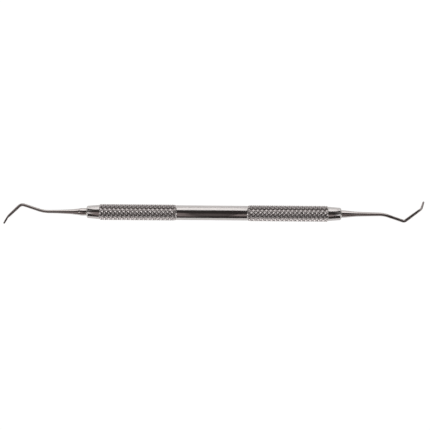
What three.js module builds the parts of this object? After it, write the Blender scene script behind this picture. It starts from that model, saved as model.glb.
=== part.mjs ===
// Double-ended dental hand instrument: a hollow knurled handle, two turned end cones and two bent
// working ends brazed into them. Millimetres, +Z up, +X along the handle. The instrument lies on z = 0
// and the origin is under the middle of its bounding box.
import * as THREE from 'three';

// Handle, measured along its axis
const HANDLE_LENGTH = 103.4;
const WAIST_DIAMETER = 6.0;
const TUBE_BORE_DIAMETER = 4.4;
const WAIST_EDGE_CHAMFER = 0.25;

// Diamond knurl: raised pyramids between crossing spiral grooves
const KNURL_CREST_DIAMETER = 6.6;
const KNURL_ROOT_DIAMETER = 5.8;
const KNURL_STARTS = 12;
const KNURL_COLUMNS = 2 * KNURL_STARTS;
const LOWEST_CREST_RADIUS = (KNURL_CREST_DIAMETER - 0.1) / 2;
const KNURL_RUN_OUT = 0.55;

// End cones: turned plugs pressed into the tube
const CONE_LARGE_DIAMETER = 5.8;
const CONE_SMALL_DIAMETER = 5.05;
const CONE_CHAMFER = 0.37;
const SPIGOT_DIAMETER = 4.36;
const SPIGOT_LENGTH = 6.0;
const SPIGOT_CHAMFER = 0.4;
const TANG_BORE_DIAMETER = 2.56;
const MOUTH_DIAMETER = 3.7;
const MOUTH_DEPTH = 1.0;
const CONE_FACETS = 40;

// Silver-solder ring between the cone's mouth and the working end
const BRAZE_INNER_DIAMETER = 3.04;
const BRAZE_OUTER_DIAMETER = 3.66;
const BRAZE_FILLET_WAIST_DIAMETER = 3.34;
const BRAZE_FILLET_TOP_DIAMETER = 3.08;
const BRAZE_DEPTH = 0.9;
const BRAZE_FILLET_WAIST_HEIGHT = 0.08;
const BRAZE_FILLET_HEIGHT = 0.35;
const BRAZE_EDGE_SUNK = 0.04;
const BRAZE_FACETS = 24;

// Working ends: tang hidden in the cone, round base, concave taper, three bends, half-round blade
const TANG_LENGTH = 9.0;
const TANG_DIAMETER = 2.5;
const TANG_GROOVE_DIAMETER = 2.2;
const TANG_GROOVE_PLACES = [-7.4, -5.2, -3.0];
const TANG_GROOVE_WIDTH = 0.9;
const TANG_GROOVE_SLOPE = 0.15;
const TANG_CHAMFER = 0.3;
const BASE_DIAMETER = 3.0;
const BASE_SEAT_GAP = 0.02;
const BLADE_LENGTH = 4.8;
const BLADE_RUN_IN = 1.4;
const BLADE_FLAT_HALF_ANGLE = THREE.MathUtils.degToRad(72);
const BLADE_FACE_TILT = THREE.MathUtils.degToRad(35);
const TIP_ROUNDING_ANGLES = [30, 55, 78].map(THREE.MathUtils.degToRad);
const SECTION_POINTS = 16;
const STRAIGHT_STEPS = 2;
const BEND_STEPS = 6;
const SMALLEST_STATION_GAP = 0.015;

const LEFT = {
  name: 'left',
  outward: new THREE.Vector3(-1, 0, 0),
  across: new THREE.Vector3(0, 1, 0),
  bladeLean: new THREE.Vector3(0, 0, -1),
  coneLength: 5.2,
  knurlRows: 34,
  knurlLength: 31.1,
  // each straight run: its length, its angle to the handle and its tilt out of the plane of the bends
  runs: [
    { length: 17.6, angle: 0, tilt: 0 },
    { length: 9.6, angle: 18, tilt: 0 },
    { length: 7.5, angle: -42.8, tilt: 8 },
    { length: 3.6, angle: -62, tilt: -14 },
  ],
  bendRadii: [14, 2.4, 5],
  taper: [
    { at: 0, diameter: BASE_DIAMETER },
    { at: 2.4, diameter: BASE_DIAMETER },
    { at: 3.4, diameter: 2.56 },
    { at: 4.9, diameter: 2.26 },
    { at: 6.1, diameter: 1.96 },
    { at: 8.5, diameter: 1.7 },
    { at: 12.2, diameter: 1.38 },
    { at: 17.1, diameter: 1.24 },
    { at: 22.0, diameter: 1.2 },
    { at: 29.0, diameter: 1.2 },
    { at: 34.0, diameter: 1.08 },
    { at: 38.3, diameter: 0.84 },
  ],
};

const RIGHT = {
  name: 'right',
  outward: new THREE.Vector3(1, 0, 0),
  across: new THREE.Vector3(0, -1, 0),
  bladeLean: new THREE.Vector3(0, 0, 1),
  coneLength: 5.4,
  knurlRows: 36,
  knurlLength: 32.6,
  runs: [
    { length: 17.3, angle: 0, tilt: 0 },
    { length: 8.95, angle: 18.5, tilt: 0 },
    { length: 8.45, angle: -37.6, tilt: 8 },
    { length: 3.4, angle: -70.3, tilt: -14 },
  ],
  bendRadii: [12, 1.4, 1.6],
  taper: [
    { at: 0, diameter: BASE_DIAMETER },
    { at: 1.6, diameter: 2.92 },
    { at: 3.7, diameter: 2.44 },
    { at: 4.9, diameter: 2.2 },
    { at: 6.1, diameter: 1.98 },
    { at: 8.5, diameter: 1.8 },
    { at: 12.2, diameter: 1.58 },
    { at: 17.1, diameter: 1.36 },
    { at: 22.0, diameter: 1.22 },
    { at: 29.0, diameter: 1.2 },
    { at: 34.0, diameter: 1.02 },
    { at: 38.1, diameter: 0.8 },
  ],
};

// A closed surface from rings with equal numbers of points, each ring running the same way round.
// The last ring joins the first when isLoop is true; otherwise both ends are capped with fans.
function skinOverRings(rings, isLoop, splitsOtherWay = () => false) {
  const around = rings[0].length;
  const positions = rings.flat().flatMap((point) => point.toArray());
  const indices = [];
  const bands = isLoop ? rings.length : rings.length - 1;
  for (let row = 0; row < bands; row += 1) {
    const nextRow = (row + 1) % rings.length;
    for (let column = 0; column < around; column += 1) {
      const nextColumn = (column + 1) % around;
      const a = row * around + column;
      const b = row * around + nextColumn;
      const c = nextRow * around + nextColumn;
      const d = nextRow * around + column;
      if (splitsOtherWay(row, column)) {
        indices.push(a, b, d, b, c, d);
      } else {
        indices.push(a, b, c, a, c, d);
      }
    }
  }
  if (!isLoop) {
    const last = (rings.length - 1) * around;
    for (let column = 1; column < around - 1; column += 1) {
      indices.push(0, column + 1, column);
      indices.push(last, last + column, last + column + 1);
    }
  }
  const geometry = new THREE.BufferGeometry();
  geometry.setAttribute('position', new THREE.Float32BufferAttribute(positions, 3));
  geometry.setIndex(indices);
  geometry.computeVertexNormals();
  return geometry;
}

// One ring round the X axis, the radius given per column; half a column off the bottom line, so the
// handle stands on two rows of crests.
function ringAroundHandle(x, radiusOfColumn) {
  const ring = [];
  for (let column = 0; column < KNURL_COLUMNS; column += 1) {
    const angle = ((column + 0.5) / KNURL_COLUMNS) * 2 * Math.PI;
    const radius = radiusOfColumn(column);
    ring.push(new THREE.Vector3(x, radius * Math.cos(angle), radius * Math.sin(angle)));
  }
  return ring;
}

const plainRing = (x, radius) => ringAroundHandle(x, () => radius);

// Rows of one knurled zone: crests and pits alternate along each row and from row to row.
function knurlRings(startX, zone) {
  const pitch = (zone.knurlLength - 2 * KNURL_RUN_OUT) / zone.knurlRows;
  const rings = [plainRing(startX, KNURL_ROOT_DIAMETER / 2)];
  for (let row = 0; row <= zone.knurlRows; row += 1) {
    const x = startX + KNURL_RUN_OUT + row * pitch;
    const isCrest = (column) => (row + column) % 2 === 1;
    rings.push(
      ringAroundHandle(x, (column) => (isCrest(column) ? KNURL_CREST_DIAMETER : KNURL_ROOT_DIAMETER) / 2),
    );
  }
  rings.push(plainRing(startX + zone.knurlLength, KNURL_ROOT_DIAMETER / 2));
  return rings;
}

function buildHandleTube() {
  const tubeStart = -HANDLE_LENGTH / 2 + LEFT.coneLength;
  const tubeEnd = HANDLE_LENGTH / 2 - RIGHT.coneLength;
  const waistStart = tubeStart + LEFT.knurlLength;
  const waistEnd = tubeEnd - RIGHT.knurlLength;
  const rings = [
    ...knurlRings(tubeStart, LEFT),
    plainRing(waistStart + WAIST_EDGE_CHAMFER, WAIST_DIAMETER / 2),
    plainRing(waistEnd - WAIST_EDGE_CHAMFER, WAIST_DIAMETER / 2),
    ...knurlRings(waistEnd, RIGHT),
    plainRing(tubeEnd, TUBE_BORE_DIAMETER / 2),
    plainRing(tubeStart, TUBE_BORE_DIAMETER / 2),
  ];
  // the grooves follow the lines from pit to pit, so each four-sided patch is split away from its crest
  const isCrestAt = (row, column) => {
    const point = rings[row][column % KNURL_COLUMNS];
    return Math.hypot(point.y, point.z) > LOWEST_CREST_RADIUS;
  };
  const splitsOtherWay = (row, column) => {
    const nextRow = (row + 1) % rings.length;
    return isCrestAt(row, column) || isCrestAt(nextRow, column + 1);
  };
  return skinOverRings(rings, true, splitsOtherWay);
}

// A ring-shaped body turned about the handle's axis. Each profile point is [distance outward, diameter],
// the distance counted from the cone's end face; the list goes once round the section.
function turnedRing(side, profile, facets) {
  const points = profile.map(([distance, diameter]) => new THREE.Vector2(diameter / 2, distance));
  points.push(points[0].clone());
  const geometry = new THREE.LatheGeometry(points, facets);
  geometry.rotateZ(-Math.PI / 2);
  geometry.translate(HANDLE_LENGTH / 2, 0, 0);
  if (side.outward.x < 0) {
    geometry.rotateZ(Math.PI);
  }
  return geometry;
}

function buildEndCone(side) {
  const coneBack = -side.coneLength;
  const spigotBack = coneBack - SPIGOT_LENGTH;
  return turnedRing(
    side,
    [
      [spigotBack, TANG_BORE_DIAMETER],
      [spigotBack, SPIGOT_DIAMETER - 2 * SPIGOT_CHAMFER],
      [spigotBack + SPIGOT_CHAMFER, SPIGOT_DIAMETER],
      [coneBack, SPIGOT_DIAMETER],
      [coneBack, CONE_LARGE_DIAMETER],
      [-CONE_CHAMFER, CONE_SMALL_DIAMETER],
      [0, CONE_SMALL_DIAMETER - 2 * CONE_CHAMFER],
      [0, MOUTH_DIAMETER],
      [-MOUTH_DEPTH, MOUTH_DIAMETER],
      [-MOUTH_DEPTH, TANG_BORE_DIAMETER],
    ],
    CONE_FACETS,
  );
}

function buildBrazeRing(side) {
  return turnedRing(
    side,
    [
      [-BRAZE_DEPTH, BRAZE_INNER_DIAMETER],
      [-BRAZE_DEPTH, BRAZE_OUTER_DIAMETER],
      [-BRAZE_EDGE_SUNK, BRAZE_OUTER_DIAMETER],
      [BRAZE_FILLET_WAIST_HEIGHT, BRAZE_FILLET_WAIST_DIAMETER],
      [BRAZE_FILLET_HEIGHT, BRAZE_FILLET_TOP_DIAMETER],
      [BRAZE_FILLET_HEIGHT, BRAZE_INNER_DIAMETER],
    ],
    BRAZE_FACETS,
  );
}

// Unit direction of a run: its angle lies in the plane of the bends, its tilt leans out of that plane.
function runDirection(side, run) {
  const angle = THREE.MathUtils.degToRad(run.angle);
  const tilt = THREE.MathUtils.degToRad(run.tilt);
  return new THREE.Vector3()
    .addScaledVector(side.outward, Math.cos(angle) * Math.cos(tilt))
    .addScaledVector(side.across, Math.sin(angle) * Math.cos(tilt))
    .addScaledVector(side.bladeLean, Math.sin(tilt));
}

// Centreline of a working end: straight runs joined by rounded corners, starting at the tang's inner end.
function workingEndPath(side) {
  const directions = side.runs.map((run) => runDirection(side, run));
  const path = new THREE.CurvePath();
  let corner = side.outward.clone().multiplyScalar(HANDLE_LENGTH / 2);
  let start = corner.clone().addScaledVector(side.outward, -TANG_LENGTH);
  side.runs.forEach((run, index) => {
    const direction = directions[index];
    corner = corner.clone().addScaledVector(direction, run.length);
    const nextDirection = directions[index + 1];
    if (!nextDirection) {
      path.add(new THREE.LineCurve3(start, corner));
      return;
    }
    const halfTurn = direction.angleTo(nextDirection) / 2;
    const cutBack = side.bendRadii[index] * Math.tan(halfTurn);
    const bendStart = corner.clone().addScaledVector(direction, -cutBack);
    const bendEnd = corner.clone().addScaledVector(nextDirection, cutBack);
    path.add(new THREE.LineCurve3(start, bendStart));
    path.add(new THREE.QuadraticBezierCurve3(bendStart, corner, bendEnd));
    start = bendEnd;
  });
  return path;
}

// Diameters from the tang's inner end to the blade's tip; distances count from the cone's end face.
function fullTaper(side) {
  const grooves = TANG_GROOVE_PLACES.flatMap((start) => [
    { at: start, diameter: TANG_DIAMETER },
    { at: start + TANG_GROOVE_SLOPE, diameter: TANG_GROOVE_DIAMETER },
    { at: start + TANG_GROOVE_WIDTH - TANG_GROOVE_SLOPE, diameter: TANG_GROOVE_DIAMETER },
    { at: start + TANG_GROOVE_WIDTH, diameter: TANG_DIAMETER },
  ]);
  const baseStart = -MOUTH_DEPTH + BASE_SEAT_GAP;
  return [
    { at: -TANG_LENGTH, diameter: TANG_DIAMETER - 2 * TANG_CHAMFER },
    { at: -TANG_LENGTH + TANG_CHAMFER, diameter: TANG_DIAMETER },
    ...grooves,
    { at: baseStart, diameter: TANG_DIAMETER },
    { at: baseStart + SMALLEST_STATION_GAP, diameter: BASE_DIAMETER },
    ...side.taper,
  ];
}

function diameterAt(taper, distance) {
  const next = taper.findIndex((knot) => knot.at >= distance);
  if (next <= 0) {
    return taper.at(next).diameter;
  }
  const before = taper[next - 1];
  const share = (distance - before.at) / (taper[next].at - before.at);
  return THREE.MathUtils.lerp(before.diameter, taper[next].diameter, share);
}

// Distances from the cone's end face at which the working end gets a ring of points.
function stationsAlong(path, taper) {
  const stations = taper.map((knot) => knot.at);
  let start = -TANG_LENGTH;
  path.curves.forEach((curve, index) => {
    const isBend = curve instanceof THREE.QuadraticBezierCurve3;
    const steps = isBend ? BEND_STEPS : STRAIGHT_STEPS;
    const length = curve.getLength();
    const firstStep = index === 0 ? steps : 0;
    for (let step = firstStep; step < steps; step += 1) {
      stations.push(start + (length * step) / steps);
    }
    start += length;
  });
  const tip = start;
  const sorted = stations.filter((at) => at < tip).sort((a, b) => a - b);
  return sorted.filter((at, index) => index === 0 || at - sorted[index - 1] >= SMALLEST_STATION_GAP - 1e-6);
}

// Section across the centreline: a circle whose side towards faceAngle is cut flat. The flat spans
// twice halfAngle, which is a plain polygon's own side where the section is round.
function sectionRing(centre, tangent, radius, faceAngle, halfAngle) {
  const sideways = new THREE.Vector3(0, 0, 1).cross(tangent).normalize();
  const upward = tangent.clone().cross(sideways);
  const arcStep = (2 * Math.PI - 2 * halfAngle) / (SECTION_POINTS - 1);
  const ring = [];
  for (let index = 0; index < SECTION_POINTS; index += 1) {
    const angle = faceAngle + halfAngle + index * arcStep;
    ring.push(
      centre
        .clone()
        .addScaledVector(sideways, radius * Math.cos(angle))
        .addScaledVector(upward, radius * Math.sin(angle)),
    );
  }
  return ring;
}

// Angle, in the section's own axes, of the direction the blade's flat face looks to: the inside of
// the bend, leaning to one side.
function bladeFaceAngle(side, tangent) {
  const planeNormal = side.outward.clone().cross(side.across);
  const insideOfBend = tangent.clone().cross(planeNormal).normalize();
  const face = insideOfBend
    .multiplyScalar(Math.cos(BLADE_FACE_TILT))
    .addScaledVector(side.bladeLean, Math.sin(BLADE_FACE_TILT));
  const sideways = new THREE.Vector3(0, 0, 1).cross(tangent).normalize();
  const upward = tangent.clone().cross(sideways);
  return Math.atan2(face.dot(upward), face.dot(sideways));
}

function buildWorkingEnd(side) {
  const path = workingEndPath(side);
  const pathLength = path.getLength();
  const tip = pathLength - TANG_LENGTH;
  const taper = fullTaper(side);
  const tipRadius = taper.at(-1).diameter / 2;
  const bladeStart = tip - BLADE_LENGTH;
  const roundHalfAngle = Math.PI / SECTION_POINTS;

  const ringAt = (distance, radius) => {
    const share = (distance + TANG_LENGTH) / pathLength;
    const tangent = path.getTangentAt(share);
    const bladeShare = THREE.MathUtils.smoothstep(distance, bladeStart, bladeStart + BLADE_RUN_IN);
    const halfAngle = THREE.MathUtils.lerp(roundHalfAngle, BLADE_FLAT_HALF_ANGLE, bladeShare);
    return sectionRing(path.getPointAt(share), tangent, radius, bladeFaceAngle(side, tangent), halfAngle);
  };

  const shankEnd = tip - tipRadius;
  const rings = stationsAlong(path, taper)
    .filter((at) => at < shankEnd)
    .map((at) => ringAt(at, diameterAt(taper, at) / 2));
  rings.push(ringAt(shankEnd, tipRadius));
  TIP_ROUNDING_ANGLES.forEach((angle) => {
    rings.push(ringAt(shankEnd + tipRadius * Math.sin(angle), tipRadius * Math.cos(angle)));
  });
  return skinOverRings(rings, false);
}

const steel = (name, color, roughness) => {
  const material = new THREE.MeshStandardMaterial({ color, roughness, metalness: 1 });
  material.name = name;
  return material;
};

const handleSteel = () => steel('handle_steel', 0xb8b6b2, 0.3);
const coneSteel = () => steel('cone_steel', 0xbcbab6, 0.22);
const workingEndSteel = () => steel('working_end_steel', 0xb2b1ae, 0.24);
const silverSolder = () => steel('silver_solder', 0xc9c3b4, 0.38);

function namedMesh(name, geometry, material) {
  const mesh = new THREE.Mesh(geometry, material);
  mesh.name = name;
  return mesh;
}

function buildInstrument() {
  const group = new THREE.Group();
  group.name = 'dental_instrument';
  group.add(namedMesh('handle_tube', buildHandleTube(), handleSteel()));
  for (const side of [LEFT, RIGHT]) {
    group.add(namedMesh(`${side.name}_end_cone`, buildEndCone(side), coneSteel()));
    group.add(namedMesh(`${side.name}_braze_ring`, buildBrazeRing(side), silverSolder()));
    group.add(namedMesh(`${side.name}_working_end`, buildWorkingEnd(side), workingEndSteel()));
  }
  const box = new THREE.Box3().setFromObject(group);
  const middle = box.getCenter(new THREE.Vector3());
  group.children.forEach((mesh) => mesh.geometry.translate(-middle.x, -middle.y, -box.min.z));
  return group;
}

export default buildInstrument();
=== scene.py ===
"""Studio view of a double-ended dental hand instrument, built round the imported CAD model.

Every CAD node is replaced by a finer mesh of the same shape: a knurled handle tube, two turned end
cones, two solder rings and two bent working ends. All lengths are in metres, +X along the handle.
"""

import math

import bpy
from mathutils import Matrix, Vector

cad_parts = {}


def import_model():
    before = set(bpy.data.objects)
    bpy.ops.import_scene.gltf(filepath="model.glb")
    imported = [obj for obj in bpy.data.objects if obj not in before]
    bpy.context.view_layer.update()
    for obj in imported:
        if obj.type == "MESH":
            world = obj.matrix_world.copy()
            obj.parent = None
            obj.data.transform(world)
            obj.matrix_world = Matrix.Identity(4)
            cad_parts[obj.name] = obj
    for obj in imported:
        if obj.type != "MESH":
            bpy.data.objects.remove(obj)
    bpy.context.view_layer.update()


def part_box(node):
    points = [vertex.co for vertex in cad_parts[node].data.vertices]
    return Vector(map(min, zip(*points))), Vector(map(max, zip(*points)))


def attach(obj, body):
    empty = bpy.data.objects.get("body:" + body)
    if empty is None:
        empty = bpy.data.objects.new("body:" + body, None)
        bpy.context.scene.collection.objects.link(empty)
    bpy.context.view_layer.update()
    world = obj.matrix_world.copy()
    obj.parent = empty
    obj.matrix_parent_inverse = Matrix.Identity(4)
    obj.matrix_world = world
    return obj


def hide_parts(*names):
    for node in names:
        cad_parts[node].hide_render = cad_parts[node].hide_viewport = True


MM = 0.001

# The handle tube. The diamond knurl is a lattice of crests with flat tops between crossing grooves.
# Its rows are counted along the handle and its columns round it, both in half pitches. Next to the
# waist the crests get lower.
KNURL_STARTS = 12
KNURL_ROOT_RADIUS = 2.9 * MM
KNURL_CREST_RADIUS = 3.285 * MM
CREST_FLAT_SHARE = 1 / 6
STEPS_PER_HALF_PITCH = 6
KNURL_RUN_OUT = 0.55 * MM
WAIST_RUN_OUT = 1.2 * MM
LEFT_KNURL_LENGTH = 31.1 * MM
LEFT_KNURL_ROWS = 34
RIGHT_KNURL_LENGTH = 32.6 * MM
RIGHT_KNURL_ROWS = 36
WAIST_RADIUS = 3.0 * MM
TUBE_BORE_RADIUS = 2.2 * MM
# The waist's rounded edge, as (distance from the knurl, drop below the waist's surface)
WAIST_EDGE = ((0.2 * MM, 0.05 * MM), (0.25 * MM, 0.02 * MM), (0.325 * MM, 0.0))

# The end cones
CONE_LARGE_RADIUS = 2.9 * MM
CONE_SMALL_RADIUS = 2.525 * MM
CONE_CHAMFER = 0.37 * MM
CONE_EDGE_ROUND = 0.05 * MM
SPIGOT_RADIUS = 2.18 * MM
SPIGOT_CHAMFER = 0.4 * MM
TANG_BORE_RADIUS = 1.28 * MM
MOUTH_RADIUS = 1.85 * MM
MOUTH_DEPTH = 1.0 * MM
TURNED_SEGMENTS = 128

# The solder rings
SOLDER_INNER_RADIUS = 1.52 * MM
SOLDER_OUTER_RADIUS = 1.83 * MM
SOLDER_DEPTH = 0.9 * MM
SOLDER_EDGE_SUNK = 0.04 * MM
FILLET_HEIGHT = 0.35 * MM
FILLET_RIM_SHARE = 0.02
FILLET_STEPS = 8

# The working ends: a grooved tang hidden in the cone, a round base, a tapered wire and a blade
TANG_LENGTH = 9.0 * MM
TANG_RADIUS = 1.25 * MM
TANG_CHAMFER = 0.3 * MM
TANG_GROOVE_RADIUS = 1.1 * MM
TANG_GROOVE_STARTS = (-7.4 * MM, -5.2 * MM, -3.0 * MM)
TANG_GROOVE_WIDTH = 0.9 * MM
TANG_GROOVE_SLOPE = 0.15 * MM
BASE_SEAT_GAP = 0.02 * MM
BASE_START = -MOUTH_DEPTH + BASE_SEAT_GAP
BLADE_LENGTH = 4.8 * MM
BLADE_RUN_IN = 1.4 * MM
BLADE_FLAT_HALF_ANGLE = math.radians(72)
BLADE_FACE_TILT = math.radians(35)
SECTION_POINTS = 48
STRAIGHT_STEP = 0.5 * MM
BEND_STEPS = 20
TIP_ROUNDING_STEPS = 8

# Each side: outward direction, direction of the first bend, the way the tip leans, its straight runs
# as (length in mm, angle to the handle in degrees, tilt out of the plane of the bends in degrees), the
# bends' radii in mm, and the taper as (distance from the cone's end face, diameter), both in mm
SIDES = {
    "left": {
        "outward": Vector((-1, 0, 0)),
        "across": Vector((0, 1, 0)),
        "lean": Vector((0, 0, -1)),
        "runs": [(17.6, 0, 0), (9.6, 18, 0), (7.5, -42.8, 8), (3.6, -62, -14)],
        "bend_radii": [14, 2.4, 5],
        "taper": [
            (0, 3.0), (2.4, 3.0), (3.4, 2.56), (4.9, 2.26), (6.1, 1.96), (8.5, 1.7), (12.2, 1.38),
            (17.1, 1.24), (22.0, 1.2), (29.0, 1.2), (34.0, 1.08), (38.3, 0.84),
        ],
    },
    "right": {
        "outward": Vector((1, 0, 0)),
        "across": Vector((0, -1, 0)),
        "lean": Vector((0, 0, 1)),
        "runs": [(17.3, 0, 0), (8.95, 18.5, 0), (8.45, -37.6, 8), (3.4, -70.3, -14)],
        "bend_radii": [12, 1.4, 1.6],
        "taper": [
            (0, 3.0), (1.6, 2.92), (3.7, 2.44), (4.9, 2.2), (6.1, 1.98), (8.5, 1.8), (12.2, 1.58),
            (17.1, 1.36), (22.0, 1.22), (29.0, 1.2), (34.0, 1.02), (38.1, 0.8),
        ],
    },
}

# Edges that bend more sharply than this many degrees stay crisp
SHARP_ANGLE = 35
KNURL_SHARP_ANGLE = 28
WORKING_END_SHARP_ANGLE = 30

# Metal colours, the painted shade of the knurl's grooves, and the tints that darken the steel where it is
# seen edge-on
STEEL_LIGHT = (0.56, 0.53, 0.52)
STEEL_DARK = (0.47, 0.445, 0.435)
# painted shade: the colour the knurl's grooves darken to at their roots, standing in for the shade that
# falls into them
GROOVE_PAINTED_SHADE = (0.37, 0.33, 0.325)
WIRE_LIGHT = (0.60, 0.555, 0.54)
WIRE_DARK = (0.49, 0.45, 0.435)
WIRE_TIP = (0.27, 0.238, 0.228)
SOLDER_LIGHT = (0.42, 0.39, 0.35)
SOLDER_DARK = (0.30, 0.275, 0.25)
STEEL_EDGE_TINT = (0.75, 0.75, 0.75)
WIRE_EDGE_TINT = (0.35, 0.35, 0.35)
NO_EDGE_TINT = (1.0, 1.0, 1.0)

# Roughness of each metal from its brightest to its dullest spots, and what marks add to it
HANDLE_ROUGHNESS = (0.13, 0.22)
CONE_ROUGHNESS = (0.12, 0.208)
WORKING_END_ROUGHNESS = (0.09, 0.19)
SOLDER_ROUGHNESS = (0.25, 0.42)
GROOVE_EXTRA_ROUGHNESS = 0.08
SCRATCH_EXTRA_ROUGHNESS = 0.12
TIP_EXTRA_ROUGHNESS = 0.06

# Marks on the metal: how many noise cells there are in a metre, and how the cells are stretched
EVEN = (1.0, 1.0, 1.0)
ROUND_THE_AXIS = (1.0, 0.04, 0.04)
ALONG_THE_HANDLE = (0.06, 1.0, 1.0)
ALONG_THE_WIRE = (0.12, 1.0, 1.0)
TURNING_LINES = 9000
SCRATCHES = 5200
GRINDING_MARKS = 5000
SOLDER_GRAIN = 2600
WAVES = 700
SMUDGES = 260
NOISE_ROUGHNESS = 0.55
NOISE_MIDDLE = (0.3, 0.7)
SCRATCH_THRESHOLD = (0.66, 0.72)

# Relief of the marks, as (strength, height)
TURNING_RELIEF = (0.25, 0.004 * MM)
SCRATCH_RELIEF = (0.2, 0.004 * MM)
GRINDING_RELIEF = (0.25, 0.006 * MM)
WAVE_RELIEF = (0.2, 0.02 * MM)
GRAIN_RELIEF = (0.4, 0.02 * MM)

# Values that the meshes hand to their materials at every point, from 0 to 1
GROOVE_DEPTH = "groove_depth"
TOWARD_TIP = "toward_tip"

# Light panels as (centre, the point it faces, width, height, brightness). The steel reflects them, but
# they don't light the table. The side panels stand at both sides; these are the ones at the right.
REAR_SOFTBOX = ((0, 1.2, 0.68), (0, 0, 0.68), 1.4, 1.24, 1.47)
SIDE_PANELS = {
    "rear_side": ((1.0, 0.8, 0.3), (0, 0.8, 0.3), 0.8, 0.6, 0.95),
    "front_side": ((1.0, -0.8, 0.27), (0, -0.8, 0.27), 0.8, 0.54, 2.75),
    "high_front": ((0.75, -0.35, 0.8), (0, 0, 0), 0.4, 0.5, 1.4),
    "high_rear": ((0.75, 0.35, 0.8), (0, 0, 0), 0.4, 0.5, 0.3),
}
# Warm cards above the front of the table, face down: x, y, width, depth, brightness
FRONT_CARDS = (
    (-0.24, -0.47, 0.24, 0.86, 0.27),
    (0.0, -0.36, 0.16, 0.5, 0.095),
    (0.2, -0.36, 0.16, 0.4, 0.38),
)
FRONT_CARD_HEIGHT = 0.5
FRONT_CARD_COLOUR = (1.0, 0.86, 0.84)
# The light that falls on the table from above and isn't reflected in the steel
TABLE_LIGHT = ((0, 0, 1.2), (0, 0, 0), 1.6, 1.6, 1.0)
ROOM_COLOUR = (0.042, 0.037, 0.036)

# The pale table, which glows like a light table, and the pale wall round it
TABLE_HALF_SIDE = 3.0
TABLE_COLOUR = (0.3, 0.3, 0.3)
TABLE_GLOW = 0.92
WALL_RADIUS = 2.9
WALL_HEIGHT = 3.0
WALL_SEGMENTS = 96

# Camera: looks straight down through a long lens, turned a little so the handle runs slightly
# downhill to the right
CAMERA_LENS = 100
CAMERA_SENSOR = 36
VIEW_WIDTH = 175.0 * MM
CAMERA_ROLL = math.radians(0.486)
VIEW_CENTRE_OFFSET = (0.52 * MM, -0.84 * MM)


# ---------------------------------------------------------------- places from the CAD model


def centre_of(node):
    """The middle of a CAD node's box."""
    low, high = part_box(node)
    return (low + high) / 2


def outer_end(node, outward):
    """The x of a CAD node's end on the side that outward (-1 or 1) points to."""
    low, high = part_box(node)
    return high.x if outward > 0 else low.x


def end_face_centre(name, outward):
    """The centre of an end cone's flat outer face."""
    cone = f"{name}_end_cone"
    middle = centre_of(cone)
    return Vector((outer_end(cone, outward), middle.y, middle.z))


# ---------------------------------------------------------------- mesh helpers


def new_piece(name, points, faces, material, replaced, sharp_angle=SHARP_ANGLE):
    """A smooth-shaded mesh piece that rides on the only body and stands for one CAD node."""
    mesh = bpy.data.meshes.new(name)
    mesh.from_pydata([tuple(point) for point in points], [], faces)
    mesh.update()
    mesh.polygons.foreach_set("use_smooth", [True] * len(mesh.polygons))
    mesh.set_sharp_from_angle(angle=math.radians(sharp_angle))
    mesh.materials.append(material)
    piece = bpy.data.objects.new(name, mesh)
    bpy.context.scene.collection.objects.link(piece)
    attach(piece, "root")
    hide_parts(replaced)
    return piece


def set_point_values(piece, name, values):
    """Stores one number for each point of a piece, for its material to read."""
    attribute = piece.data.attributes.new(name, "FLOAT", "POINT")
    attribute.data.foreach_set("value", values)


def skin_over_rings(rings, is_loop, diagonal_from_first=None):
    """Points and faces of a closed surface over rings of equal numbers of points.

    The last ring joins the first in a loop; otherwise both ends are closed with one face each.
    diagonal_from_first(row, column) says whether a four-sided patch is split from its first corner. Where
    it gives None, or isn't given, the patch stays whole.
    """
    around = len(rings[0])
    points = [point for ring in rings for point in ring]
    faces = []
    bands = len(rings) if is_loop else len(rings) - 1
    for row in range(bands):
        next_row = (row + 1) % len(rings)
        for column in range(around):
            next_column = (column + 1) % around
            a = row * around + column
            b = row * around + next_column
            c = next_row * around + next_column
            d = next_row * around + column
            split = diagonal_from_first(row, column) if diagonal_from_first else None
            if split is None:
                faces.append((a, b, c, d))
            elif split:
                faces += [(a, b, c), (a, c, d)]
            else:
                faces += [(a, b, d), (b, c, d)]
    if not is_loop:
        last = (len(rings) - 1) * around
        faces.append(tuple(reversed(range(around))))
        faces.append(tuple(range(last, last + around)))
    return points, faces


def turned_body(profile, outward, face_centre):
    """Points and faces of a body turned about the handle's axis.

    The profile is a closed outline of (distance outward from the end face, radius).
    """
    rings = []
    for distance, radius in profile:
        ring = []
        for index in range(TURNED_SEGMENTS):
            angle = 2 * math.pi * index / TURNED_SEGMENTS * outward
            offset = Vector((outward * distance, radius * math.cos(angle), radius * math.sin(angle)))
            ring.append(face_centre + offset)
        rings.append(ring)
    return skin_over_rings(rings, True)


# ---------------------------------------------------------------- materials


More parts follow.
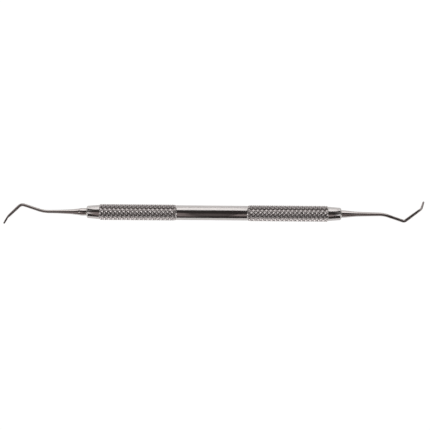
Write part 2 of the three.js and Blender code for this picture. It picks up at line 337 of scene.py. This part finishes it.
class Nodes:
    """A material's node tree with short calls for the nodes used here."""

    def __init__(self, name):
        self.material = bpy.data.materials.new(name)
        self.material.use_nodes = True
        self.tree = self.material.node_tree
        self.shader = self.tree.nodes["Principled BSDF"]

    def add(self, kind, **settings):
        node = self.tree.nodes.new(kind)
        for key, value in settings.items():
            setattr(node, key, value)
        return node

    def link(self, source, target):
        self.tree.links.new(source, target)

    def feed(self, socket, source):
        """Feeds one of the shader's sockets."""
        self.link(source, self.shader.inputs[socket])

    def position(self, scale):
        """The place on the piece, in the object's own metres, stretched by scale."""
        coordinates = self.add("ShaderNodeTexCoord")
        mapping = self.add("ShaderNodeMapping")
        mapping.inputs["Scale"].default_value = scale
        self.link(coordinates.outputs["Object"], mapping.inputs["Vector"])
        return mapping.outputs["Vector"]

    def point_values(self, name):
        """The numbers that the mesh stores at its points under this name."""
        return self.add("ShaderNodeAttribute", attribute_name=name).outputs["Fac"]

    def noise(self, stretch, scale, detail):
        """Noise from 0 to 1 over the piece; detail is how many finer layers it has."""
        node = self.add("ShaderNodeTexNoise")
        node.inputs["Scale"].default_value = scale
        node.inputs["Detail"].default_value = detail
        node.inputs["Roughness"].default_value = NOISE_ROUGHNESS
        self.link(self.position(stretch), node.inputs["Vector"])
        return node.outputs["Fac"]

    def remap(self, value, old_range, new_range):
        node = self.add("ShaderNodeMapRange")
        node.inputs["From Min"].default_value = old_range[0]
        node.inputs["From Max"].default_value = old_range[1]
        node.inputs["To Min"].default_value = new_range[0]
        node.inputs["To Max"].default_value = new_range[1]
        self.link(value, node.inputs["Value"])
        return node.outputs["Result"]

    def times(self, value, factor):
        node = self.add("ShaderNodeMath", operation="MULTIPLY")
        self.link(value, node.inputs[0])
        node.inputs[1].default_value = factor
        return node.outputs["Value"]

    def plus(self, first, second):
        node = self.add("ShaderNodeMath", operation="ADD")
        self.link(first, node.inputs[0])
        self.link(second, node.inputs[1])
        return node.outputs["Value"]

    def mix_colours(self, share, first, second):
        """From the first colour at a share of 0 to the second at 1."""
        node = self.add("ShaderNodeMix", data_type="RGBA")
        self.link(share, node.inputs["Factor"])
        for socket, value in ((node.inputs[6], first), (node.inputs[7], second)):
            if isinstance(value, tuple):
                socket.default_value = (*value, 1.0)
            else:
                self.link(value, socket)
        return node.outputs[2]

    def bump(self, height, relief, normal=None):
        """The normal over a height from 0 to 1, on top of an earlier normal where one is given."""
        node = self.add("ShaderNodeBump")
        node.inputs["Strength"].default_value = relief[0]
        node.inputs["Distance"].default_value = relief[1]
        self.link(height, node.inputs["Height"])
        if normal is not None:
            self.link(normal, node.inputs["Normal"])
        return node.outputs["Normal"]


def metal(name, edge_tint):
    """A metal's node builder, with no colour or roughness yet."""
    nodes = Nodes(name)
    nodes.shader.inputs["Metallic"].default_value = 1.0
    nodes.shader.inputs["Specular Tint"].default_value = (*edge_tint, 1.0)
    return nodes


def add_turning_marks(nodes):
    """Raises fine lines round the axis and a few lengthways scratches, and gives back the scratches."""
    rings = nodes.noise(ROUND_THE_AXIS, TURNING_LINES, detail=4)
    streaks = nodes.noise(ALONG_THE_HANDLE, SCRATCHES, detail=2)
    scratches = nodes.remap(streaks, SCRATCH_THRESHOLD, (0.0, 1.0))
    lines = nodes.bump(rings, TURNING_RELIEF)
    nodes.feed("Normal", nodes.bump(scratches, SCRATCH_RELIEF, lines))
    return scratches


def handle_steel():
    """Handle steel: smudged and turned, with duller grooves in the knurl that painted shade darkens."""
    nodes = metal("handle_steel", STEEL_EDGE_TINT)
    depth = nodes.point_values(GROOVE_DEPTH)
    smudges = nodes.noise(EVEN, SMUDGES, detail=3)
    clean = nodes.mix_colours(smudges, STEEL_LIGHT, STEEL_DARK)
    # painted shade: the steel's colour darkens towards the groove colour as the knurl gets deeper
    nodes.feed("Base Color", nodes.mix_colours(depth, clean, GROOVE_PAINTED_SHADE))
    smudged = nodes.remap(smudges, NOISE_MIDDLE, HANDLE_ROUGHNESS)
    nodes.feed("Roughness", nodes.plus(smudged, nodes.times(depth, GROOVE_EXTRA_ROUGHNESS)))
    add_turning_marks(nodes)
    return nodes.material


def cone_steel():
    """Turned and polished steel: smudges, fine turning lines and duller scratches."""
    nodes = metal("cone_steel", STEEL_EDGE_TINT)
    smudges = nodes.noise(EVEN, SMUDGES, detail=3)
    nodes.feed("Base Color", nodes.mix_colours(smudges, STEEL_LIGHT, STEEL_DARK))
    smudged = nodes.remap(smudges, NOISE_MIDDLE, CONE_ROUGHNESS)
    scratches = add_turning_marks(nodes)
    nodes.feed("Roughness", nodes.plus(smudged, nodes.times(scratches, SCRATCH_EXTRA_ROUGHNESS)))
    return nodes.material


def working_end_steel():
    """Ground and polished wire: fine marks along it, a little waviness, darker and duller at the tip."""
    nodes = metal("working_end_steel", WIRE_EDGE_TINT)
    marks = nodes.noise(ALONG_THE_WIRE, GRINDING_MARKS, detail=4)
    waves = nodes.noise(EVEN, WAVES, detail=2)
    toward_tip = nodes.point_values(TOWARD_TIP)
    polished = nodes.mix_colours(waves, WIRE_LIGHT, WIRE_DARK)
    nodes.feed("Base Color", nodes.mix_colours(toward_tip, polished, WIRE_TIP))
    ground = nodes.remap(marks, NOISE_MIDDLE, WORKING_END_ROUGHNESS)
    nodes.feed("Roughness", nodes.plus(ground, nodes.times(toward_tip, TIP_EXTRA_ROUGHNESS)))
    marked = nodes.bump(marks, GRINDING_RELIEF)
    nodes.feed("Normal", nodes.bump(waves, WAVE_RELIEF, marked))
    return nodes.material


def silver_solder():
    """Silver solder: grainy, and duller than the steel."""
    nodes = metal("silver_solder", NO_EDGE_TINT)
    grain = nodes.noise(EVEN, SOLDER_GRAIN, detail=3)
    nodes.feed("Base Color", nodes.mix_colours(grain, SOLDER_LIGHT, SOLDER_DARK))
    nodes.feed("Roughness", nodes.remap(grain, NOISE_MIDDLE, SOLDER_ROUGHNESS))
    nodes.feed("Normal", nodes.bump(grain, GRAIN_RELIEF))
    return nodes.material


# ---------------------------------------------------------------- handle


def from_even_number(value):
    """How far a number is from the nearest even number, from 0 to 1."""
    return abs((value + 1) % 2 - 1)


def knurl_height(row, column):
    """Height of the knurl from 0 in a groove to 1 on a crest, with rows and columns in half pitches."""
    lowest = min(from_even_number(row - column), from_even_number(row + column))
    return min(1.0, lowest / (1 - CREST_FLAT_SHARE))


def build_handle(material):
    low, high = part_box("handle_tube")
    axis = centre_of("handle_tube")
    columns = 2 * KNURL_STARTS * STEPS_PER_HALF_PITCH
    knurl_depth = KNURL_CREST_RADIUS - KNURL_ROOT_RADIUS
    rings = []
    lattice_rows = []
    depths = []

    def add_ring(x, radius_at, lattice_row=None):
        ring = []
        for step in range(columns):
            angle = 2 * math.pi * (step / columns + 0.5 / (2 * KNURL_STARTS))
            radius = radius_at(step / STEPS_PER_HALF_PITCH)
            ring.append((x, axis.y + radius * math.cos(angle), axis.z + radius * math.sin(angle)))
            # how far below the crest each point lies, which the material uses for painted shade and for
            # duller grooves
            below_crest = (KNURL_CREST_RADIUS - radius) / knurl_depth
            depths.append(0.0 if lattice_row is None else below_crest)
        rings.append(ring)
        lattice_rows.append(lattice_row)

    def add_plain_ring(x, radius):
        add_ring(x, lambda column: radius)

    def add_knurl(start, length, rows, waist_x):
        half_pitch = (length - 2 * KNURL_RUN_OUT) / rows
        beyond = math.floor(KNURL_RUN_OUT / half_pitch * STEPS_PER_HALF_PITCH)
        add_plain_ring(start, KNURL_ROOT_RADIUS)
        for step in range(-beyond, rows * STEPS_PER_HALF_PITCH + beyond + 1):
            row = step / STEPS_PER_HALF_PITCH
            x = start + KNURL_RUN_OUT + row * half_pitch
            run_out = min(x - start, start + length - x)
            fading = min(1.0, abs(waist_x - x) / WAIST_RUN_OUT)
            tallest = WAIST_RADIUS + (KNURL_CREST_RADIUS - WAIST_RADIUS) * fading

            def radius_at(column):
                knurl = KNURL_ROOT_RADIUS + knurl_depth * knurl_height(row + 1, column)
                return min(knurl, KNURL_ROOT_RADIUS + run_out, tallest)

            add_ring(x, radius_at, row)
        add_plain_ring(start + length, KNURL_ROOT_RADIUS)

    waist_start = low.x + LEFT_KNURL_LENGTH
    waist_end = high.x - RIGHT_KNURL_LENGTH
    add_knurl(low.x, LEFT_KNURL_LENGTH, LEFT_KNURL_ROWS, waist_start)
    for inset, drop in WAIST_EDGE:
        add_plain_ring(waist_start + inset, WAIST_RADIUS - drop)
    for inset, drop in reversed(WAIST_EDGE):
        add_plain_ring(waist_end - inset, WAIST_RADIUS - drop)
    add_knurl(waist_end, RIGHT_KNURL_LENGTH, RIGHT_KNURL_ROWS, waist_end)
    add_plain_ring(high.x, TUBE_BORE_RADIUS)
    add_plain_ring(low.x, TUBE_BORE_RADIUS)

    def diagonal_from_first(row, column):
        """Splits a patch of the knurl along the groove that is nearer; other patches stay whole."""
        if lattice_rows[row] is None or lattice_rows[(row + 1) % len(rings)] is None:
            return None
        across = (column + 0.5) / STEPS_PER_HALF_PITCH
        along = lattice_rows[row] + 1 + 0.5 / STEPS_PER_HALF_PITCH
        return from_even_number(along - across) < from_even_number(along + across)

    points, faces = skin_over_rings(rings, True, diagonal_from_first)
    piece = new_piece(
        "knurled_handle", points, faces, material, "handle_tube", KNURL_SHARP_ANGLE
    )
    set_point_values(piece, GROOVE_DEPTH, depths)


# ---------------------------------------------------------------- cones and solder


def build_cone(name, outward, material):
    node = f"{name}_end_cone"
    low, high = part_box(node)
    face_centre = end_face_centre(name, outward)
    spigot_back = low.x - high.x
    cone_back = -abs(face_centre.x - outer_end("handle_tube", outward))
    edge = CONE_EDGE_ROUND
    # a small flat softens the cone's large edge and both corners of the chamfer
    profile = [
        (spigot_back, TANG_BORE_RADIUS),
        (spigot_back, SPIGOT_RADIUS - SPIGOT_CHAMFER),
        (spigot_back + SPIGOT_CHAMFER, SPIGOT_RADIUS),
        (cone_back, SPIGOT_RADIUS),
        (cone_back, CONE_LARGE_RADIUS - edge),
        (cone_back + edge, CONE_LARGE_RADIUS),
        (-CONE_CHAMFER - edge, CONE_SMALL_RADIUS + edge * 0.1),
        (-CONE_CHAMFER + edge * 0.5, CONE_SMALL_RADIUS - edge * 0.5),
        (-edge * 0.6, CONE_SMALL_RADIUS - CONE_CHAMFER + edge * 0.6),
        (0, CONE_SMALL_RADIUS - CONE_CHAMFER - edge * 0.6),
        (0, MOUTH_RADIUS),
        (-MOUTH_DEPTH, MOUTH_RADIUS),
        (-MOUTH_DEPTH, TANG_BORE_RADIUS),
    ]
    points, faces = turned_body(profile, outward, face_centre)
    new_piece(f"{name}_cone", points, faces, material, node)


def build_solder_ring(name, outward, material):
    """A sleeve in the cone's mouth whose outer end rises in a hollow curve against the wire."""
    profile = [(-SOLDER_DEPTH, SOLDER_INNER_RADIUS), (-SOLDER_DEPTH, SOLDER_OUTER_RADIUS)]
    width = (SOLDER_OUTER_RADIUS - SOLDER_INNER_RADIUS) * (1 - FILLET_RIM_SHARE)
    height = FILLET_HEIGHT + SOLDER_EDGE_SUNK
    for step in range(FILLET_STEPS + 1):
        angle = math.pi / 2 * step / FILLET_STEPS
        distance = height * (1 - math.cos(angle)) - SOLDER_EDGE_SUNK
        profile.append((distance, SOLDER_OUTER_RADIUS - width * math.sin(angle)))
    profile.append((FILLET_HEIGHT, SOLDER_INNER_RADIUS))
    points, faces = turned_body(profile, outward, end_face_centre(name, outward))
    new_piece(f"{name}_solder_ring", points, faces, material, f"{name}_braze_ring")


# ---------------------------------------------------------------- working ends


def interpolate(knots, at):
    """The value at a place on a line of (place, value) knots."""
    for (start, value), (end, next_value) in zip(knots, knots[1:]):
        if at <= end:
            return value + (next_value - value) * max(0.0, at - start) / (end - start)
    return knots[-1][1]


def smoothstep(value, low, high):
    share = min(1.0, max(0.0, (value - low) / (high - low)))
    return share * share * (3 - 2 * share)


def run_direction(side, angle, tilt):
    """The direction of a straight run from its angle to the handle and its tilt, in degrees."""
    angle = math.radians(angle)
    tilt = math.radians(tilt)
    return (
        side["outward"] * math.cos(angle) * math.cos(tilt)
        + side["across"] * math.sin(angle) * math.cos(tilt)
        + side["lean"] * math.sin(tilt)
    )


def centreline(side, face_centre):
    """Stations from the base to the tip, each one (distance from the end face, point, direction)."""
    runs = side["runs"]
    directions = [run_direction(side, angle, tilt) for _, angle, tilt in runs]
    corner = face_centre
    start = face_centre + side["outward"] * BASE_START
    distance = BASE_START
    stations = []

    def add_straight(begin, end, direction, at):
        length = (end - begin).length
        steps = max(1, round(length / STRAIGHT_STEP))
        for step in range(steps):
            stations.append((at + length * step / steps, begin.lerp(end, step / steps), direction))
        return at + length

    for index, (length, _, _) in enumerate(runs[:-1]):
        direction = directions[index]
        following = directions[index + 1]
        corner = corner + direction * length * MM
        cut_back = side["bend_radii"][index] * MM * math.tan(direction.angle(following) / 2)
        bend_start = corner - direction * cut_back
        bend_end = corner + following * cut_back
        distance = add_straight(start, bend_start, direction, distance)
        previous = bend_start
        for step in range(BEND_STEPS):
            share = step / BEND_STEPS
            point = bend_start.lerp(corner, share).lerp(corner.lerp(bend_end, share), share)
            heading = direction.lerp(following, share).normalized()
            distance += (point - previous).length
            stations.append((distance, point, heading))
            previous = point
        distance += (bend_end - previous).length
        start = bend_end
    tip = corner + directions[-1] * runs[-1][0] * MM
    distance = add_straight(start, tip, directions[-1], distance)
    stations.append((distance, tip, directions[-1]))
    return stations


def section_axes(heading):
    """Two directions square to the wire: one level, one as near upward as it can be."""
    sideways = Vector((0, 0, 1)).cross(heading).normalized()
    return sideways, heading.cross(sideways)


def section_ring(centre, heading, radius, face_angle, half_angle):
    """Points round the wire: a circle whose side towards face_angle is cut flat."""
    sideways, upward = section_axes(heading)
    arc_step = (2 * math.pi - 2 * half_angle) / (SECTION_POINTS - 1)
    ring = []
    for index in range(SECTION_POINTS):
        angle = face_angle + half_angle + index * arc_step
        ring.append(centre + sideways * radius * math.cos(angle) + upward * radius * math.sin(angle))
    return ring


def blade_face_angle(side, heading):
    """The way the blade's flat faces: towards the inside of the bends, tilted towards the lean."""
    plane_normal = side["outward"].cross(side["across"])
    inside_of_bend = heading.cross(plane_normal).normalized()
    face = inside_of_bend * math.cos(BLADE_FACE_TILT) + side["lean"] * math.sin(BLADE_FACE_TILT)
    sideways, upward = section_axes(heading)
    return math.atan2(face.dot(upward), face.dot(sideways))


def tang_profile():
    """The tang hidden in the cone, as (distance from the end face, radius), with its solder grooves."""
    profile = [
        (-TANG_LENGTH, TANG_RADIUS - TANG_CHAMFER),
        (-TANG_LENGTH + TANG_CHAMFER, TANG_RADIUS),
    ]
    for start in TANG_GROOVE_STARTS:
        end = start + TANG_GROOVE_WIDTH
        profile.append((start, TANG_RADIUS))
        profile.append((start + TANG_GROOVE_SLOPE, TANG_GROOVE_RADIUS))
        profile.append((end - TANG_GROOVE_SLOPE, TANG_GROOVE_RADIUS))
        profile.append((end, TANG_RADIUS))
    profile.append((BASE_START, TANG_RADIUS))
    return profile


def build_working_end(name, material):
    side = SIDES[name]
    outward = side["outward"]
    face_centre = end_face_centre(name, outward.x)
    taper = [(at * MM, diameter * MM / 2) for at, diameter in side["taper"]]
    stations = centreline(side, face_centre)
    tip, tip_point, tip_heading = stations[-1]
    tip_radius = taper[-1][1]
    blade_start = tip - BLADE_LENGTH
    round_half_angle = math.pi / SECTION_POINTS
    rings = []
    toward_tip = []

    def add_ring(at, point, heading, radius):
        share = smoothstep(at, blade_start, blade_start + BLADE_RUN_IN)
        half_angle = round_half_angle * (1 - share) + BLADE_FLAT_HALF_ANGLE * share
        face_angle = blade_face_angle(side, heading)
        rings.append(section_ring(point, heading, radius, face_angle, half_angle))
        toward_tip.extend([min(1.0, max(0.0, at / tip))] * SECTION_POINTS)

    for at, radius in tang_profile():
        add_ring(at, face_centre + outward * at, outward, radius)
    for at, point, heading in stations:
        if at < tip - tip_radius:
            add_ring(at, point, heading, interpolate(taper, at))
    for step in range(TIP_ROUNDING_STEPS):
        angle = math.pi / 2 * step / TIP_ROUNDING_STEPS
        back = tip_radius * (1 - math.sin(angle))
        add_ring(tip - back, tip_point - tip_heading * back, tip_heading, tip_radius * math.cos(angle))
    points, faces = skin_over_rings(rings, False)
    node = f"{name}_working_end"
    piece = new_piece(
        f"{name}_tip", points, faces, material, node, WORKING_END_SHARP_ANGLE
    )
    set_point_values(piece, TOWARD_TIP, toward_tip)


# ---------------------------------------------------------------- studio


def glowing_white():
    """The matt, softly glowing white of the table and the wall."""
    nodes = Nodes("floor_white")
    nodes.shader.inputs["Base Color"].default_value = (*TABLE_COLOUR, 1.0)
    nodes.shader.inputs["Roughness"].default_value = 1.0
    nodes.shader.inputs["Specular IOR Level"].default_value = 0.0
    nodes.shader.inputs["Emission Color"].default_value = (1.0, 1.0, 1.0, 1.0)
    nodes.shader.inputs["Emission Strength"].default_value = TABLE_GLOW
    return nodes.material


def new_stage_object(name, points, faces, material):
    mesh = bpy.data.meshes.new(name)
    mesh.from_pydata(points, [], faces)
    mesh.materials.append(material)
    stage = bpy.data.objects.new(name, mesh)
    bpy.context.scene.collection.objects.link(stage)
    return stage


def build_floor(material):
    half = TABLE_HALF_SIDE
    corners = [(-half, -half, 0), (half, -half, 0), (half, half, 0), (-half, half, 0)]
    new_stage_object("floor", corners, [(0, 1, 2, 3)], material)


def build_backdrop(material):
    """A pale wall all round the table for low views. Only the camera sees it, so no reflection changes."""
    points = []
    faces = []
    for index in range(WALL_SEGMENTS):
        angle = 2 * math.pi * index / WALL_SEGMENTS
        x = WALL_RADIUS * math.cos(angle)
        y = WALL_RADIUS * math.sin(angle)
        points += [(x, y, 0), (x, y, WALL_HEIGHT)]
        following = (index + 1) % WALL_SEGMENTS
        faces.append((2 * index, 2 * index + 1, 2 * following + 1, 2 * following))
    backdrop = new_stage_object("backdrop", points, faces, material)
    backdrop.visible_diffuse = False
    backdrop.visible_glossy = False
    backdrop.visible_transmission = False
    backdrop.visible_shadow = False


def add_panel(name, panel, diffuse=False, glossy=True, colour=(1.0, 1.0, 1.0)):
    """A rectangular light whose face has the given brightness."""
    centre, aim, width, height, brightness = panel
    light = bpy.data.lights.new(name, "AREA")
    light.color = colour
    light.shape = "RECTANGLE"
    light.size = width
    light.size_y = height
    # a face of this brightness sends out pi times its area in watts
    light.energy = brightness * math.pi * width * height
    lamp = bpy.data.objects.new(name, light)
    lamp.location = centre
    lamp.rotation_euler = (Vector(aim) - Vector(centre)).to_track_quat("-Z", "Y").to_euler()
    lamp.visible_camera = False
    lamp.visible_diffuse = diffuse
    lamp.visible_glossy = glossy
    bpy.context.scene.collection.objects.link(lamp)


def build_lights():
    add_panel("softbox", REAR_SOFTBOX)
    for side in (-1, 1):
        for name, (centre, aim, width, height, brightness) in SIDE_PANELS.items():
            x, y, z = centre
            add_panel(name, ((side * x, y, z), aim, width, height, brightness))
    for x, y, width, depth, brightness in FRONT_CARDS:
        card = ((x, y, FRONT_CARD_HEIGHT), (x, y, 0), width, depth, brightness)
        add_panel("front_card", card, colour=FRONT_CARD_COLOUR)
    add_panel("table_light", TABLE_LIGHT, diffuse=True, glossy=False)


def build_world():
    """The dark room round the lit table, which the steel reflects between the panels."""
    world = bpy.data.worlds.new("studio")
    world.use_nodes = True
    background = world.node_tree.nodes["Background"]
    background.inputs["Color"].default_value = (*ROOM_COLOUR, 1.0)
    background.inputs["Strength"].default_value = 1.0
    bpy.context.scene.world = world


def build_camera():
    data = bpy.data.cameras.new("camera")
    data.lens = CAMERA_LENS
    data.sensor_width = CAMERA_SENSOR
    camera = bpy.data.objects.new("camera", data)
    height = VIEW_WIDTH * CAMERA_LENS / CAMERA_SENSOR
    camera.location = centre_of("handle_tube") + Vector((*VIEW_CENTRE_OFFSET, height))
    camera.rotation_euler = (0, 0, CAMERA_ROLL)
    bpy.context.scene.collection.objects.link(camera)
    bpy.context.scene.camera = camera


def main():
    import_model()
    bpy.context.scene.view_settings.view_transform = "Standard"

    build_handle(handle_steel())
    cone = cone_steel()
    solder = silver_solder()
    wire = working_end_steel()
    for name, outward in (("left", -1), ("right", 1)):
        build_cone(name, outward, cone)
        build_solder_ring(name, outward, solder)
        build_working_end(name, wire)

    white = glowing_white()
    build_floor(white)
    build_backdrop(white)
    build_lights()
    build_world()
    build_camera()


main()
